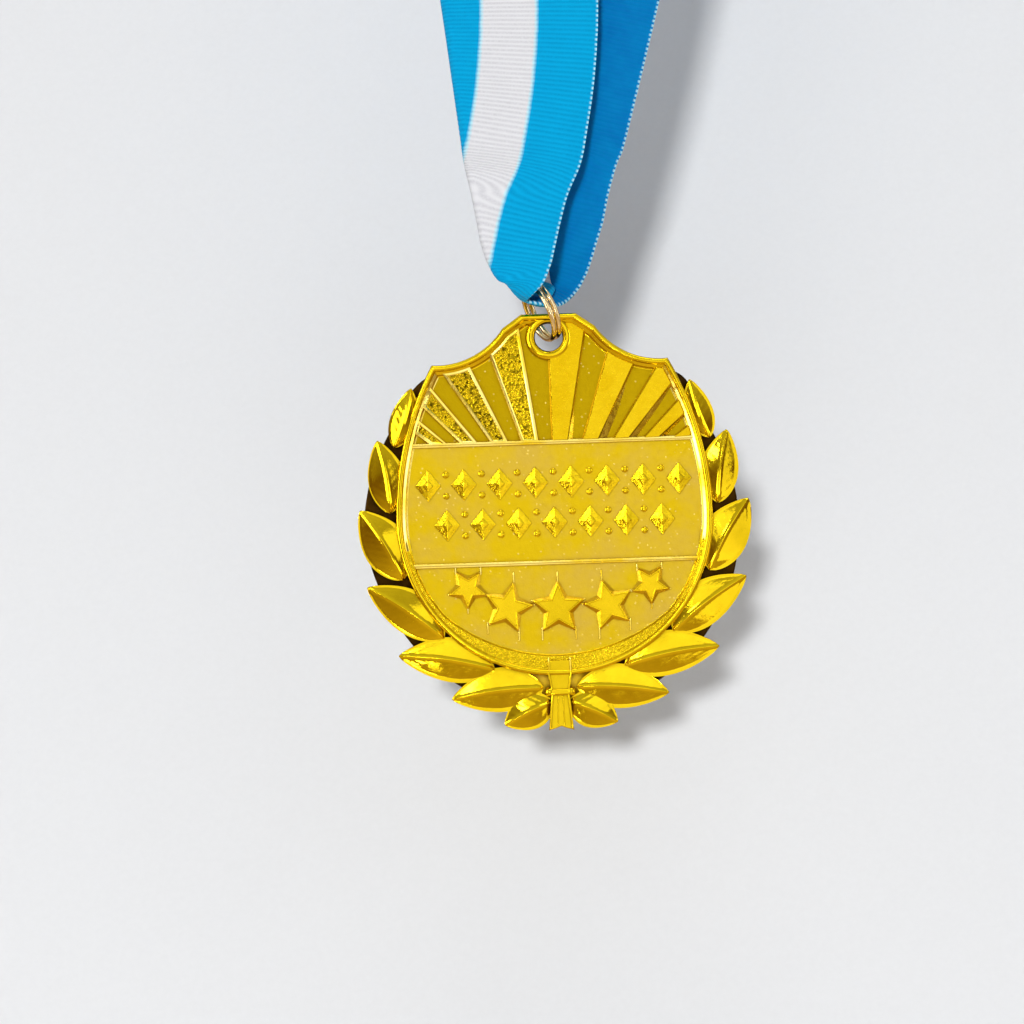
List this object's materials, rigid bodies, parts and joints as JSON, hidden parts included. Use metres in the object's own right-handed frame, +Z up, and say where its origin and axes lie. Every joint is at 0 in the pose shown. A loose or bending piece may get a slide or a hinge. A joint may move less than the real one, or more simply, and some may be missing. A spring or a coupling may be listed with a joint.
{
  "type": "academic medallion on a neck ribbon",
  "caption": "Cast medallion with rays, stars and laurel, hung by a split ring on a folded blue and white neck ribbon.",
  "frame": {"origin": "inner face of the ribbon at the nape of the neck, in the middle of its width", "axes": "+Z up, the medal hangs below the origin and faces -Y, +X to the viewer's right"},
  "size_m": [0.1258, 0.143, 0.3736],
  "materials": {
    "cast_gold": "bright gold plating on cast zinc",
    "ring_wire": "pale plated spring wire",
    "ribbon_cloth": "ribbed woven ribbon, light blue with a white stripe"
  },
  "bodies": {
    "ribbon": {"ribbon": "ribbon_cloth"},
    "split_ring": {"split_ring": "ring_wire"},
    "medal": {"medal": "cast_gold"}
  },
  "joints": [
    {"name": "ring_swing", "type": "hinge", "parent": "ribbon", "child": "split_ring", "pos_m": [-0.00149, -0.12647, -0.31302], "axis": [0.8713, 0.3171, 0.3746], "range_deg": [-30, 30]},
    {"name": "medal_swing", "type": "hinge", "parent": "split_ring", "child": "medal", "pos_m": [0, -0.12575, -0.31816], "axis": [0, 1, 0], "range_deg": [-15, 15]}
  ]
}
